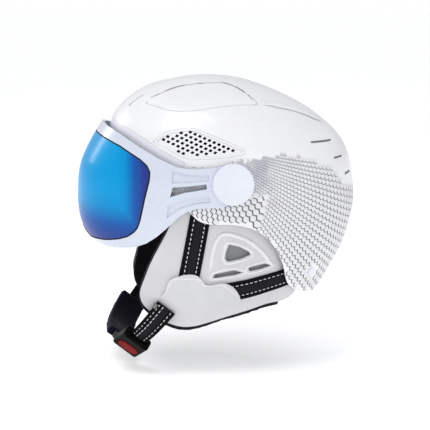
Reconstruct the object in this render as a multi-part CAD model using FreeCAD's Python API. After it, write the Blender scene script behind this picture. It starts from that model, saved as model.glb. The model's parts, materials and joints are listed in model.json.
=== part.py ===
"""Ski helmet with a flip-up visor, in millimetres.

+X is the wearer's left, -Y the face, +Z up. The origin is the head's centre at ear-canal level.
Shell, liner, visor and ear guards share one family of surfaces: every slice across X is one
profile round the visor's pivot axis, scaled down towards the sides. A visor slice therefore
stays outside the shell slice beside it at every angle of the visor.
"""
import FreeCAD, Part
import math
import os
from FreeCAD import Matrix, Vector

# --- Driving dimensions ---------------------------------------------------------------------
PIVOT_Y = -13.0
PIVOT_Z = 62.0
ROUNDNESS = 2.1              # exponent of the slices' scaling, 2 is an ellipse
POLE_ANGLE = 80.0            # degrees at which the slices stop, leaving a flat at each pivot
SLICES = 8                   # slices on each side of the middle one

SHELL_HALF_WIDTH = 107.0
SHELL_WALL = 3.0
LINER_GAP = 0.3
LINER_DEPTH = 25.0           # outside of the shell to inside of the liner
PAD_THICKNESS = 5.0
NOTCH_HALF_WIDTH = 24.0      # the room for the fit dial at the lower rear edge
NOTCH_TOP = -26.0
VISOR_HALF_WIDTH = 112.0
VISOR_WALL = 3.0
NOSE_ARCH = 24.0             # half width of the notch over the nose, 12 below its top
LENS_ARCH = 31.5             # the same for the lens's lower edge
GUARD_HALF_WIDTH = 98.0
GUARD_WALL = 3.5
CUSHION_DEPTH = 20.0         # outside of the guard to inside of the cushion
LINING_RIM = 6.0             # how far the cushion shows below the guard

STRAP_WIDTH = 19.0
STRAP_THICKNESS = 1.6
CAP_RADIUS = 20.0
ARM_BORE_RADIUS = 5.0
SHOULDER_RADIUS = 4.93
BUSH_RADIUS = 6.0
SCREW_RADIUS = 2.5

EXIT_X = 76.0                # where the chin strap leaves each guard
EXIT_Y = -72.5
EXIT_Z = -62.8
LOOP_DEPTH = 64.0
LOOP_SQUARENESS = 2.6
LOOP_LEAN = 39.0             # degrees forward of straight down

BUCKLE_X = 50.0              # the housing's middle, across and down the loop
BUCKLE_DOWN = 55.5
BUCKLE_TILT = 38.0
HOUSING_HALF_LENGTH = 14.0
HOUSING_HALF_WIDTH = 15.0
HOUSING_FLOOR = -5.5         # height of the side towards the chin, from the strap's middle
HOUSING_TOP = 7.0
BUTTON_AT = 3.0              # along the buckle from its middle
BUTTON_HALF_LENGTH = 11.5
BUTTON_HALF_WIDTH = 6.5
BUTTON_GAP = 0.4
FAR_LOOP_DEPTH = 68.0        # the far half hangs lower, level with the buckle's tongue

BAND_CENTRE_Y = 19.0
BAND_RADIUS = 54.0
BAND_Z = -38.0
BAND_HEIGHT = 12.0
BAND_THICKNESS = 1.4
BAND_SPACING = 1.8           # the left band lies outside the right one
BAND_REACH = (-24, 62)       # degrees round from straight back towards the band's own side
BAND_SLOT = (-7, 19)         # the pinion's slot in each band, longer on the side it is wound towards
PINION_RADIUS = 4.0
DIAL_RADIUS = 13.0

FAR = 300.0

# Radius of each profile in degrees up from straight ahead, round the pivot axis
SHELL = [(0, 110), (14, 114.5), (25, 122.5), (34, 121.5), (43, 117.5), (51, 113), (61, 106.5),
         (72, 101.5), (88, 97.5), (105, 96.5), (120, 98.5), (131, 102.5), (144, 111), (154, 119.5),
         (162, 127.5), (171, 134.5), (181, 138.5), (189, 142.5), (202, 146.5), (212, 150.5),
         (221, 154), (231, 161.5), (250, 172), (270, 169), (290, 164), (310, 157.5),
         (330, 141.5), (346, 121)]
VISOR = [(6, 141.5), (17, 134), (27, 128.5), (42, 121.5), (60, 115), (90, 111), (120, 110.5),
         (150, 111), (180, 111), (210, 111), (255, 110.5), (285, 117), (310, 131), (324, 142),
         (331, 149), (337, 152), (346, 150.5), (354, 147)]
GUARD = [(0, 150), (30, 125), (60, 106), (100, 96), (140, 110), (180, 134), (200, 140),
         (215, 144), (228, 149), (236, 157), (243, 170), (252, 190), (261, 218), (272, 222),
         (288, 215), (307, 194), (328, 174)]

# Outlines seen from the side, as (y, z)
SHELL_RIM = [(-112, 57), (-100, 54), (-80, 47), (-66, 41), (-54.4, 34.5), (-46.9, 27), (-35.4, 22.5),
             (-18, 21.9), (-6.5, 20.5), (6.3, 17), (17.5, 10.4), (28, -0.5), (36, -13.8), (41, -26),
             (46.7, -43.7), (58.7, -54.2), (72, -60), (90, -62)]
LINER_RIM = [(-112, 62), (-100, 59), (-80, 54), (-60, 48), (-45, 40), (-18, 35), (0, 33), (14, 27),
             (26, 16), (37, 3), (46, -7), (54, -19), (62, -32), (73, -42), (90, -46)]
VISOR_TOP = [(-175, 131), (-133, 113.5), (-117.4, 105.8), (-99.5, 95), (-81.4, 84.8), (-65.9, 78),
             (-57.6, 76.8), (-44.5, 76.4), (-30, 78)]
VISOR_BOTTOM = [(-20.8, 39), (-37, 39), (-47.4, 38.5), (-55.9, 36), (-64.2, 30.3), (-77.1, 16.5),
                (-85.3, 8), (-94.5, 0.5), (-105.7, -5.3), (-118.9, -8), (-130.3, -8.8), (-145.7, -6),
                (-175, 2)]
LENS = [(-175, 116), (-139.7, 103.4), (-117.9, 94), (-99.9, 83.1), (-94.5, 78.3), (-91.9, 72.5),
        (-92.5, 65.3), (-97.3, 45.8), (-101.6, 24.7), (-103.9, 17.2), (-107.1, 12.6), (-112.7, 7.6),
        (-121.1, 3.9), (-132.5, 0.8), (-142, -0.4), (-175, -1)]
ARM_WINDOW = [(-70.3, 59), (-54.1, 60.3), (-38.6, 62.3), (-38.1, 57.5), (-58.8, 54), (-72.7, 49.4)]
UPPER_PANEL = [(-70.6, 74.2), (-58.6, 71.8), (-44.6, 70.5), (-36.4, 71), (-36.4, 65), (-70.8, 62.8)]
LOWER_PANEL = [(-74.6, 41.1), (-63.4, 46.2), (-49.4, 49.3), (-36, 50.4), (-35, 44.6), (-48.4, 43.5),
               (-63.4, 38.4), (-75.6, 29)]
BROW_STRIP = [(-150, 127), (-122, 116.5), (-107.5, 109.8), (-94.1, 102.3), (-80.6, 93.8),
              (-69.7, 87.6), (-57.8, 81.6), (-61, 74), (-76.2, 79.5), (-89.8, 86.8), (-103.3, 94.6),
              (-116.7, 102), (-150, 119)]
GRILLE = [(-86.2, 101.4), (-81.5, 105.6), (-72.6, 110.3), (-61.3, 112.8), (-50, 113.7),
          (-40.8, 111.2), (-28.8, 106.2), (-16.6, 101.1), (-5.3, 96.3), (-0.8, 93), (-1.4, 89.8),
          (-5.6, 88.5), (-20.1, 86.4), (-39.1, 85.1), (-53.2, 85.3), (-62.4, 87.9), (-71.5, 92.6),
          (-80.4, 97.4)]
GUARD_OUTLINE = [(-66, 37), (-69.9, 24.4), (-81.3, -1), (-90.8, -22), (-97.4, -41.6), (-100, -53),
                 (-97.6, -63), (-89, -72), (-80, -79), (-70.6, -84), (-60.7, -86.8), (-48.9, -86.6),
                 (-31.3, -81.4), (-11.6, -74.8), (8.4, -69), (29.3, -65), (52, -63), (61, -55),
                 (53, -32), (46, -16), (38, -2), (27, 12), (13, 23), (-2, 28.5), (-20, 30.5),
                 (-45, 35)]
TRIANGLE_VENT = [(-14.9, 0.6), (-4, -2.2), (5.1, -7.7), (6.7, -10.9), (-3.7, -15), (-15.5, -17.2),
                 (-18.5, -14.1), (-17.7, -6.9)]
FRONT_VENT = [(-29.9, -33), (-28, -29.6), (-9.4, -25.9), (-0.6, -28.6), (-8.3, -31.1), (-27.9, -33.9)]
REAR_VENT = [(4.6, -25.4), (6.5, -23.5), (21.9, -21), (28.5, -23.8), (18.9, -26.5), (6.7, -28)]
FRONT_STRAP = [(-51.1, 39), (-32.4, 32.5), (-43.4, -34.5), (-63.6, -33.5)]
REAR_STRAP = [(-16.9, -39.6), (44, -29), (53, -28), (56, -46.5), (49.2, -48.4), (12.9, -56.6),
              (-4.5, -57.5)]
STRAP_COVER = [(-79.5, -52.3), (-76.2, -47.9), (-73, -37), (-66.7, -32.6), (-42.5, -33.2),
               (-37.5, -39.8), (-20.9, -39), (-3.5, -52.9), (-2.3, -58.9), (-17.2, -62.3),
               (-34.9, -65), (-51.6, -66), (-62.2, -65.3)]
RIVETS = [(-41.9, 31.5), (48.5, -38)]
REAR_SLOTS = [[(68.4, 96), (92, 95.6), (93.5, 97.6), (68.4, 98)],
              [(94.3, 78.8), (104.5, 79.3), (105, 81.4), (94.3, 81)],
              [(108, 61), (116, 62), (116, 64.4), (108, 63.6)]]
VENT_CHANNEL = [(-68, 96), (-52, 104), (-40, 104), (-14, 97), (-14, 93), (-40, 91.5), (-58, 91.5)]
TEMPLE_PAD = [(-52, 54), (-54, 78), (-30, 84), (10, 82), (34, 70), (36, 46), (10, 40), (-25, 44)]
EAR_Y, EAR_Z, EAR_RADIUS = -14.0, -12.0, 27.0
STUD_Y, STUD_Z = 73.0, -35.0
BEHIND_CUSHION = [(20, 30), (30, 8), (37, -12), (41, -35), (42, -100), (120, -100), (120, 30)]
HOLE = [(-2.15, -0.55), (-0.5, 1.6), (2.15, 0.55), (0.5, -1.6)]
FIRST_HOLE = (-51.7, 110.0)
HOLE_STEP_BACK = (4.4, -1.9)
HOLE_STEP_DOWN = (-4.1, -2.8)
HOLE_MARGIN = 3.2            # from the grille's edge to the middles of the outermost holes
CROWN_COVER = [(46, -89), (44.8, -77), (40.8, -60), (40.6, -32), (41, -12), (46.4, -2.7),
               (54.7, 6.1), (66, 17), (72, 4), (76.5, -18), (78, -42), (74.5, -62), (62, -80)]

LEAN = math.radians(LOOP_LEAN)
DOWN_LOOP = Vector(0, -math.sin(LEAN), -math.cos(LEAN))
ACROSS_LOOP = Vector(0, math.cos(LEAN), -math.sin(LEAN))


# --- Shared shapes --------------------------------------------------------------------------
def slice_ring(profile, inset, scale, x):
    """One closed profile, scaled towards the pivot axis, at the width x."""
    points = []
    for degrees, radius in profile:
        angle = math.radians(degrees)
        reach = scale * (radius - inset)
        points.append(Vector(x, PIVOT_Y - reach * math.cos(angle), PIVOT_Z + reach * math.sin(angle)))
    curve = Part.BSplineCurve()
    curve.interpolate(points, PeriodicFlag=True)
    return Part.Wire([curve.toShape()])


def oval(profile, half_width, inset=0.0):
    """A solid whose slices are the profile scaled down towards each side."""
    power = 2.0 / ROUNDNESS
    rings = []
    for step in range(-SLICES, SLICES + 1):
        angle = math.radians(POLE_ANGLE * step / SLICES)
        x = math.copysign((half_width - inset) * abs(math.sin(angle)) ** power, angle)
        rings.append(slice_ring(profile, inset, math.cos(angle) ** power, x))
    return Part.makeLoft(rings, True, False)


def layer(profile, half_width, outer, inner):
    """The skin between two depths below an oval's surface."""
    return oval(profile, half_width, outer).cut(oval(profile, half_width, inner))


def polygon_prism(points, near=0.0, far=FAR):
    """A straight-sided outline (y, z) carried along X."""
    corners = [Vector(near, y, z) for y, z in points]
    face = Part.Face(Part.makePolygon(corners + corners[:1]))
    return face.extrude(Vector(far - near, 0, 0))


def round_prism(points, near=0.0, far=FAR):
    """A smooth closed outline (y, z) carried along X."""
    curve = Part.BSplineCurve()
    curve.interpolate([Vector(near, y, z) for y, z in points], PeriodicFlag=True)
    face = Part.Face(Part.Wire([curve.toShape()]))
    return face.extrude(Vector(far - near, 0, 0))


def below(rim, near=-FAR, far=FAR):
    """Everything below a smooth edge that runs from front to back."""
    curve = Part.BSplineCurve()
    curve.interpolate([Vector(near, y, z) for y, z in rim])
    first, last = curve.StartPoint, curve.EndPoint
    corners = [last, Vector(near, FAR, last.z), Vector(near, FAR, -FAR), Vector(near, -FAR, -FAR),
               Vector(near, -FAR, first.z), first]
    wire = Part.Wire([curve.toShape()] + Part.makePolygon(corners).Edges)
    return Part.Face(wire).extrude(Vector(far - near, 0, 0))


def offset_outline(points, distance):
    """The outline moved outwards by a distance, or inwards if it is negative."""
    count = len(points)
    area = sum(points[i][0] * points[(i + 1) % count][1] - points[(i + 1) % count][0] * points[i][1]
               for i in range(count))
    turn = math.copysign(1.0, area)
    moved = []
    for i, (y, z) in enumerate(points):
        before, after = points[i - 1], points[(i + 1) % count]
        first = unit(y - before[0], z - before[1])
        second = unit(after[0] - y, after[1] - z)
        normal = unit(first[1] + second[1], -first[0] - second[0])
        reach = distance * turn / max(0.5, normal[0] * first[1] - normal[1] * first[0])
        moved.append((y + normal[0] * reach, z + normal[1] * reach))
    return moved


def unit(a, b):
    length = math.hypot(a, b)
    return a / length, b / length


def disc(radius, start, end, inner=0.0, y=PIVOT_Y, z=PIVOT_Z):
    """A cylinder or ring along X."""
    shape = Part.makeCylinder(radius, end - start, Vector(start, y, z), Vector(1, 0, 0))
    if inner:
        shape = shape.cut(Part.makeCylinder(inner, end - start, Vector(start, y, z), Vector(1, 0, 0)))
    return shape


def mirrored(shape):
    return shape.mirror(Vector(0, 0, 0), Vector(1, 0, 0))


def solids_of(shape, smallest=0.5):
    """The shape's solids without crumbs."""
    solids = [solid for solid in shape.Solids if solid.Volume > smallest]
    return solids[0] if len(solids) == 1 else Part.Compound(solids)


def save(name, shape):
    shape = solids_of(shape)
    shape.exportStep("parts/" + name + ".step")
    print(f"{name:24s} {shape.Volume / 1000:9.2f} cm3  {len(shape.Solids)} solids  valid {shape.isValid()}")


def save_pair(name, shape):
    save(name + "_left", shape)
    save(name + "_right", mirrored(shape))


# --- Shell and liner ------------------------------------------------------------------------
def nape_notch(top):
    """The room for the fit dial at the lower rear edge."""
    box = Part.makeBox(2 * NOTCH_HALF_WIDTH, 120, 100, Vector(-NOTCH_HALF_WIDTH, 45, top - 100))
    upper = [e for e in box.Edges if e.BoundBox.ZMin > top - 1 and e.BoundBox.YLength > 100]
    return box.makeFillet(10, upper)


def front_slots():
    """The two narrow intakes beside the middle of the brow."""
    slots = []
    for x in (-30, 30):
        middle = Part.makeBox(3, 13, 80, Vector(x - 1.5, -105.5, 100))
        ends = [Part.makeCylinder(1.5, 80, Vector(x, y, 100)) for y in (-105.5, -92.5)]
        slots.append(middle.fuse(ends))
    return slots


def crown_prism(margin):
    curve = Part.BSplineCurve()
    outline = offset_outline(CROWN_COVER, margin)
    curve.interpolate([Vector(x, y, 60) for x, y in outline], PeriodicFlag=True)
    return Part.Face(Part.Wire([curve.toShape()])).extrude(Vector(0, 0, 200))


def both_sides(prism):
    return [prism, mirrored(prism)]


def make_shell():
    skin = layer(SHELL, SHELL_HALF_WIDTH, 0, SHELL_WALL)
    tools = [below(SHELL_RIM), nape_notch(NOTCH_TOP)] + front_slots()
    tools += both_sides(round_prism(GRILLE)) + both_sides(disc(BUSH_RADIUS, 80, 130))
    for slot in REAR_SLOTS:
        tools += both_sides(polygon_prism(slot))
    shell = skin.cut(tools)
    recess = layer(SHELL, SHELL_HALF_WIDTH, -1, 1.3)
    strip_recess = recess.common(polygon_prism(BROW_STRIP, -FAR))
    crown_recess = [recess.common(prism) for prism in both_sides(crown_prism(0))]
    save("outer_shell", shell.cut([strip_recess] + crown_recess))
    strip = layer(SHELL, SHELL_HALF_WIDTH, 0.5, 1.3)
    save("brow_strip", strip.common(polygon_prism(offset_outline(BROW_STRIP, -0.15), -FAR)))
    cover = layer(SHELL, SHELL_HALF_WIDTH, -0.3, 1.3)
    save_pair("crown_cover", cover.common(crown_prism(-0.7)))


def grille_holes():
    """Diamond holes on a slanting grid inside the grille's edge."""
    room = polygon_prism(offset_outline(GRILLE, -HOLE_MARGIN), 0, 1).Faces
    flat = max(room, key=lambda face: face.Area)
    holes = []
    for i in range(-14, 24):
        for j in range(-12, 14):
            y = FIRST_HOLE[0] + i * HOLE_STEP_BACK[0] + j * HOLE_STEP_DOWN[0]
            z = FIRST_HOLE[1] + i * HOLE_STEP_BACK[1] + j * HOLE_STEP_DOWN[1]
            if flat.isInside(Vector(flat.BoundBox.XMin, y, z), 0.01, True):
                holes.append(polygon_prism([(y + dy, z + dz) for dy, dz in HOLE]))
    return holes


def make_grilles():
    plate = layer(SHELL, SHELL_HALF_WIDTH, 0, 2.2).common(round_prism(offset_outline(GRILLE, -0.2)))
    dished = layer(SHELL, SHELL_HALF_WIDTH, -1, 1.2).common(round_prism(offset_outline(GRILLE, -2.0)))
    save_pair("side_grille", plate.cut(dished).cut(grille_holes()))


def make_liner():
    liner = layer(SHELL, SHELL_HALF_WIDTH, SHELL_WALL + LINER_GAP, LINER_DEPTH)
    tools = [below(LINER_RIM), nape_notch(NOTCH_TOP + 2)]
    tools += both_sides(disc(9, 90, 130))
    tools += both_sides(polygon_prism(VENT_CHANNEL))
    save("eps_liner", liner.cut(tools))
    padding = layer(SHELL, SHELL_HALF_WIDTH, LINER_DEPTH + 0.3, LINER_DEPTH + PAD_THICKNESS)
    crown = Part.makeBox(72, 92, 60, Vector(-36, -62, 110))
    brow = Part.makeBox(132, 60, 24, Vector(-66, -125, 63))
    rear = Part.makeBox(96, 70, 34, Vector(-48, 62, 18))
    save("crown_pad", padding.common(crown))
    save("brow_pad", padding.common(brow))
    save("rear_pad", padding.common(rear))
    save_pair("temple_pad", padding.common(round_prism(TEMPLE_PAD)))


# --- Visor and its pivots -------------------------------------------------------------------
def nose_arch(half_width, top, depth=60.0):
    """A smooth arch seen from the front, carried along Y through the visor."""
    front = -190.0
    points = [Vector(-1.7 * half_width, front, top - depth), Vector(-half_width, front, top - 12),
              Vector(-0.5 * half_width, front, top - 2), Vector(0, front, top),
              Vector(0.5 * half_width, front, top - 2), Vector(half_width, front, top - 12),
              Vector(1.7 * half_width, front, top - depth)]
    curve = Part.BSplineCurve()
    curve.interpolate(points)
    wire = Part.Wire([curve.toShape(), Part.makeLine(points[-1], points[0])])
    return Part.Face(wire).extrude(Vector(0, 90, 0))


def visor_region():
    """The side outline of frame and arms, closed round the pivot by the arm's round end."""
    body = polygon_prism(VISOR_TOP + VISOR_BOTTOM, -FAR)
    return body.fuse(disc(CAP_RADIUS - 0.5, -FAR, FAR)).fuse(
        polygon_prism([(-34, 77), (-14, 81.4), (-13, 62), (-14, 42.6), (-26, 39)], -FAR))


def make_visor():
    skin = layer(VISOR, VISOR_HALF_WIDTH, 0, VISOR_WALL)
    opening = polygon_prism(offset_outline(LENS, 1.4), -FAR).cut(nose_arch(LENS_ARCH - 1.5, 5.0))
    frame = skin.common(visor_region()).cut(opening)
    recess = layer(VISOR, VISOR_HALF_WIDTH, -1, 1.2)
    panels = [polygon_prism(points) for points in (UPPER_PANEL, LOWER_PANEL)]
    tools = both_sides(polygon_prism(ARM_WINDOW)) + both_sides(disc(ARM_BORE_RADIUS, 90, 130))
    tools += [recess.common(side) for panel in panels for side in both_sides(panel)]
    tools.append(nose_arch(NOSE_ARCH, -1.5))
    save("visor_frame", frame.cut(tools))
    lens_region = polygon_prism(LENS, -FAR).cut(nose_arch(LENS_ARCH, 6.4))
    save("visor_lens", layer(VISOR, VISOR_HALF_WIDTH, 0.4, 2.4).common(lens_region))
    seat = polygon_prism(offset_outline(LENS, 1.25), -FAR).cut(nose_arch(LENS_ARCH - 1.3, 5.2))
    inner_edge = polygon_prism(offset_outline(LENS, 0.1), -FAR).cut(nose_arch(LENS_ARCH - 0.1, 6.3))
    save("lens_gasket", layer(VISOR, VISOR_HALF_WIDTH, 0.2, 2.8).common(seat).cut(inner_edge))
    foam = layer(VISOR, VISOR_HALF_WIDTH, VISOR_WALL + 0.2, VISOR_WALL + 7)
    lower_edge = below([(y, z + 8) for y, z in reversed(VISOR_BOTTOM[5:])])
    wings = Part.makeBox(96, 80, 60, Vector(-48, -180, -30))
    foam = foam.common(visor_region()).common(lower_edge.fuse(nose_arch(NOSE_ARCH + 9, 4))).common(wings)
    save("nose_foam", foam.cut(nose_arch(NOSE_ARCH + 0.5, -1.2)))


def make_pivots():
    pole = math.sin(math.radians(POLE_ANGLE)) ** (2.0 / ROUNDNESS)
    shell_face = SHELL_HALF_WIDTH * pole
    arm_inside = (VISOR_HALF_WIDTH - VISOR_WALL) * pole
    arm_outside = VISOR_HALF_WIDTH * pole
    bush = disc(BUSH_RADIUS - 0.05, shell_face - 9, shell_face - 0.1, SCREW_RADIUS + 0.05)
    save_pair("pivot_bush", bush)
    shank = disc(SCREW_RADIUS, shell_face - 8, shell_face)
    shoulder = disc(SHOULDER_RADIUS, shell_face, arm_outside + 0.1)
    head = disc(7.5, arm_outside + 0.1, arm_outside + 2.6)
    head = head.makeChamfer(0.5, [e for e in head.Edges if e.BoundBox.XMin > arm_outside + 2.5 and e.Closed])
    save_pair("pivot_screw", shank.fuse([shoulder, head]).removeSplitter().cut(hex_socket(arm_outside)))
    save_pair("friction_washer", disc(11, shell_face + 0.05, arm_inside - 0.1, ARM_BORE_RADIUS + 0.1))
    save_pair("pivot_cap", make_cap(arm_outside))


def hex_socket(arm_outside):
    corners = []
    for side in range(6):
        angle = math.radians(60 * side)
        corners.append((PIVOT_Y + 2.3 * math.cos(angle), PIVOT_Z + 2.3 * math.sin(angle)))
    return polygon_prism(corners, arm_outside + 0.8, arm_outside + 5)


def make_cap(base):
    """A round cover with a rolled edge, hollow over the screw's head."""
    height = 5.2
    cap = disc(CAP_RADIUS, base, base + height)
    cap = cap.makeFillet(2.2, [e for e in cap.Edges if e.Closed and e.BoundBox.XMin > base + height - 0.1])
    return cap.cut(disc(8.5, base - 1, base + 3.2))


# --- Ear guards and the straps on them ------------------------------------------------------
def make_guards():
    vents = (TRIANGLE_VENT, FRONT_VENT, REAR_VENT)
    guard = layer(GUARD, GUARD_HALF_WIDTH, 0, GUARD_WALL).common(round_prism(GUARD_OUTLINE))
    save_pair("ear_guard", guard.cut([polygon_prism(points) for points in vents]))
    mesh = layer(GUARD, GUARD_HALF_WIDTH, GUARD_WALL + 0.1, GUARD_WALL + 0.7)
    backing = [polygon_prism(offset_outline(points, 1.8)) for points in vents]
    save_pair("ear_mesh", Part.Compound([mesh.common(piece) for piece in backing]))
    lining = layer(GUARD, GUARD_HALF_WIDTH, GUARD_WALL + 1.0, CUSHION_DEPTH)
    lower = [(y, z - LINING_RIM) if z < -50 else (y, z) for y, z in GUARD_OUTLINE]
    pocket = layer(GUARD, GUARD_HALF_WIDTH, GUARD_WALL + 6, CUSHION_DEPTH + 4)
    pocket = pocket.common(disc(EAR_RADIUS, 30, 110, 0, EAR_Y, EAR_Z))
    save_pair("ear_cushion", lining.common(round_prism(lower)).cut([pocket, polygon_prism(BEHIND_CUSHION)]))


def make_guard_straps():
    webbing = layer(GUARD, GUARD_HALF_WIDTH, -0.2 - STRAP_THICKNESS, -0.2)
    straps = (FRONT_STRAP, REAR_STRAP)
    for name, outline in zip(("front_strap", "rear_strap"), straps):
        save_pair(name, webbing.common(polygon_prism(outline)))
    plate = layer(GUARD, GUARD_HALF_WIDTH, -3.4, -0.1).common(round_prism(STRAP_COVER))
    pocket = layer(GUARD, GUARD_HALF_WIDTH, -2.4, 0)
    pockets = [pocket.common(polygon_prism(offset_outline(outline, 0.6))) for outline in straps]
    save_pair("strap_cover", plate.cut(pockets + [strap_exit()]))
    heads = layer(GUARD, GUARD_HALF_WIDTH, -3.1, -1.9)
    save_pair("strap_rivets", Part.Compound([heads.common(disc(4, 40, 110, 0, y, z)) for y, z in RIVETS]))


def strap_exit():
    """The room in the cover plate that the chin strap's end swings in."""
    corners = []
    for along, down in ((-14, -3.4), (14, -3.4), (16, 26), (-16, 26)):
        point = ACROSS_LOOP * along + DOWN_LOOP * down
        corners.append((EXIT_Y + point.y, EXIT_Z + point.z))
    return polygon_prism(corners, 40)


def rear_studs():
    """Small round studs low on the shell's back."""
    outside = oval(SHELL, SHELL_HALF_WIDTH, -0.8)
    inside = oval(SHELL, SHELL_HALF_WIDTH, -0.05)
    stud = disc(4, 40, 90, 0, STUD_Y, STUD_Z).common(outside).cut(inside)
    save_pair("rear_stud", stud)


# --- Chin strap and buckle ------------------------------------------------------------------
def loop_point(turn):
    """A point across and down the chin loop, turn 0 to 180 degrees from the left exit."""
    angle = math.radians(turn)
    power = 2.0 / LOOP_SQUARENESS
    across = math.copysign(EXIT_X * abs(math.cos(angle)) ** power, math.cos(angle))
    depth = LOOP_DEPTH if turn < 60 else FAR_LOOP_DEPTH
    return across, depth * math.sin(angle) ** power


def in_loop(across, down):
    return Vector(across, EXIT_Y, EXIT_Z) + DOWN_LOOP * down


def loop_band(start, end, thickness, width, shift=0.0, steps=12):
    """A flat band that follows the loop between two turns."""
    inner, outer = [], []
    for step in range(steps + 1):
        turn = start + (end - start) * step / steps
        x, down = loop_point(turn)
        ahead, behind = loop_point(turn + 0.2), loop_point(turn - 0.2)
        tangent = unit(ahead[0] - behind[0], ahead[1] - behind[1])
        normal = (-tangent[1], tangent[0])
        for points, side in ((inner, -0.5), (outer, 0.5)):
            reach = side * thickness
            points.append(in_loop(x + normal[0] * reach, down + normal[1] * reach))
    curves = []
    for points in (inner, outer):
        curve = Part.BSplineCurve()
        curve.interpolate(points)
        curves.append(curve.toShape())
    ends = [Part.makeLine(inner[0], outer[0]), Part.makeLine(inner[-1], outer[-1])]
    face = Part.Face(Part.Wire(Part.__sortEdges__(curves + ends)))
    face.translate(ACROSS_LOOP * (shift - width / 2))
    return face.extrude(ACROSS_LOOP * width)


def to_buckle(shape):
    """Moves a shape from the buckle's own axes (along, across, outwards) to its place."""
    tilt = math.radians(BUCKLE_TILT)
    along = Vector(-math.cos(tilt), 0, 0) + DOWN_LOOP * math.sin(tilt)
    outwards = Vector(math.sin(tilt), 0, 0) + DOWN_LOOP * math.cos(tilt)
    origin = in_loop(BUCKLE_X, BUCKLE_DOWN)
    matrix = Matrix(along.x, ACROSS_LOOP.x, outwards.x, origin.x,
                    along.y, ACROSS_LOOP.y, outwards.y, origin.y,
                    along.z, ACROSS_LOOP.z, outwards.z, origin.z, 0, 0, 0, 1)
    return shape.transformShape(matrix, True)


def block(along, across, out):
    """A box given by its limits along, across and outwards."""
    corner = Vector(along[0], across[0], out[0])
    return Part.makeBox(along[1] - along[0], across[1] - across[0], out[1] - out[0], corner)


def oval_button(margin, low, high):
    """An oval across the buckle, over the tongue's latch."""
    half_length, half_width = BUTTON_HALF_LENGTH + margin, BUTTON_HALF_WIDTH + margin
    middle = block((BUTTON_AT - half_width, BUTTON_AT + half_width),
                   (half_width - half_length, half_length - half_width), (low, high))
    ends = [Part.makeCylinder(half_width, high - low, Vector(BUTTON_AT, y, low))
            for y in (half_width - half_length, half_length - half_width)]
    return middle.fuse(ends).removeSplitter()


def make_buckle():
    housing = block((-HOUSING_HALF_LENGTH, HOUSING_HALF_LENGTH), (-HOUSING_HALF_WIDTH, HOUSING_HALF_WIDTH),
                    (HOUSING_FLOOR, HOUSING_TOP))
    housing = housing.makeFillet(3.0, [e for e in housing.Edges if e.BoundBox.XLength > 25])
    mouth = block((-5, HOUSING_HALF_LENGTH + 1), (-9, 9), (-3.6, -0.2))
    slot_half = STRAP_WIDTH / 2 + 0.3
    strap_slot = block((-HOUSING_HALF_LENGTH - 1, -10), (-slot_half, slot_half), (-1.6, 1.8))
    housing = housing.cut([mouth, strap_slot, oval_button(BUTTON_GAP, 0.6, HOUSING_TOP + 1)])
    save("buckle_housing", to_buckle(housing))
    button = oval_button(0, 4.2, HOUSING_TOP + 0.6)
    rim = [e for e in button.Edges if e.BoundBox.ZMin > HOUSING_TOP + 0.5]
    save("buckle_button", to_buckle(button.makeFillet(0.6, rim)))
    coil = Part.makeHelix(1.0, 3.0, 2.0)
    wire = Part.Wire([Part.makeCircle(0.3, Vector(2, 0, 0), Vector(0, 1, 0.1))])
    spring = Part.Wire(coil.Edges).makePipeShell([wire], True, True)
    spring.translate(Vector(BUTTON_AT, 0, 0.95))
    save("button_spring", to_buckle(spring))
    blade = block((-4, 14.3), (-8.6, 8.6), (-3.2, -0.6)).cut(block((1, 7), (-4, 4), (-4, 0)))
    tail = block((14.3, 24), (-12, 12), (-3.9, 0.1)).cut(block((19, 22), (-10, 10), (-5, 1)))
    save("buckle_tongue", to_buckle(blade.fuse(tail).removeSplitter()))


def make_chin_straps():
    save("chin_strap_left", loop_band(1.2, 44, STRAP_THICKNESS, STRAP_WIDTH))
    save("chin_strap_right", loop_band(74, 178.8, STRAP_THICKNESS, STRAP_WIDTH, steps=24))
    pad = loop_band(88, 152, 9.0, 31.0, -3.0)
    slit = loop_band(87, 153, STRAP_THICKNESS + 0.6, STRAP_WIDTH + 0.6)
    save("chin_pad", pad.cut(slit))
    slider = loop_band(81, 86, 6.5, 24.0, steps=3).cut(
        loop_band(80, 87, STRAP_THICKNESS + 0.4, STRAP_WIDTH + 0.4, steps=3))
    save("strap_slider", slider)


# --- Fit system -----------------------------------------------------------------------------
def upright_ring(outer, inner, low, high):
    centre = Vector(0, BAND_CENTRE_Y, low)
    return Part.makeCylinder(outer, high - low, centre).cut(Part.makeCylinder(inner, high - low, centre))


def band_sector(start, end):
    """A wedge round the bands' centre, in degrees from straight back towards the left."""
    points = [Vector(0, BAND_CENTRE_Y, BAND_Z - 30)]
    for step in range(9):
        angle = math.radians(start + (end - start) * step / 8)
        points.append(points[0] + Vector(100 * math.sin(angle), 100 * math.cos(angle), 0))
    return Part.Face(Part.makePolygon(points + points[:1])).extrude(Vector(0, 0, 60))


def rearwards(radius, length, x, y, z):
    """A cylinder along Y from the point (x, y, z), which is given from the dial's axis."""
    rear = BAND_CENTRE_Y + BAND_RADIUS
    return Part.makeCylinder(radius, length, Vector(x, rear + y, BAND_Z + z), Vector(0, 1, 0))


def round_the_dial(count, radius, distance, start, length):
    """Small cylinders along Y in a circle round the dial's axis."""
    turns = [2 * math.pi * i / count for i in range(count)]
    return [rearwards(radius, length, distance * math.cos(a), start, distance * math.sin(a)) for a in turns]


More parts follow.
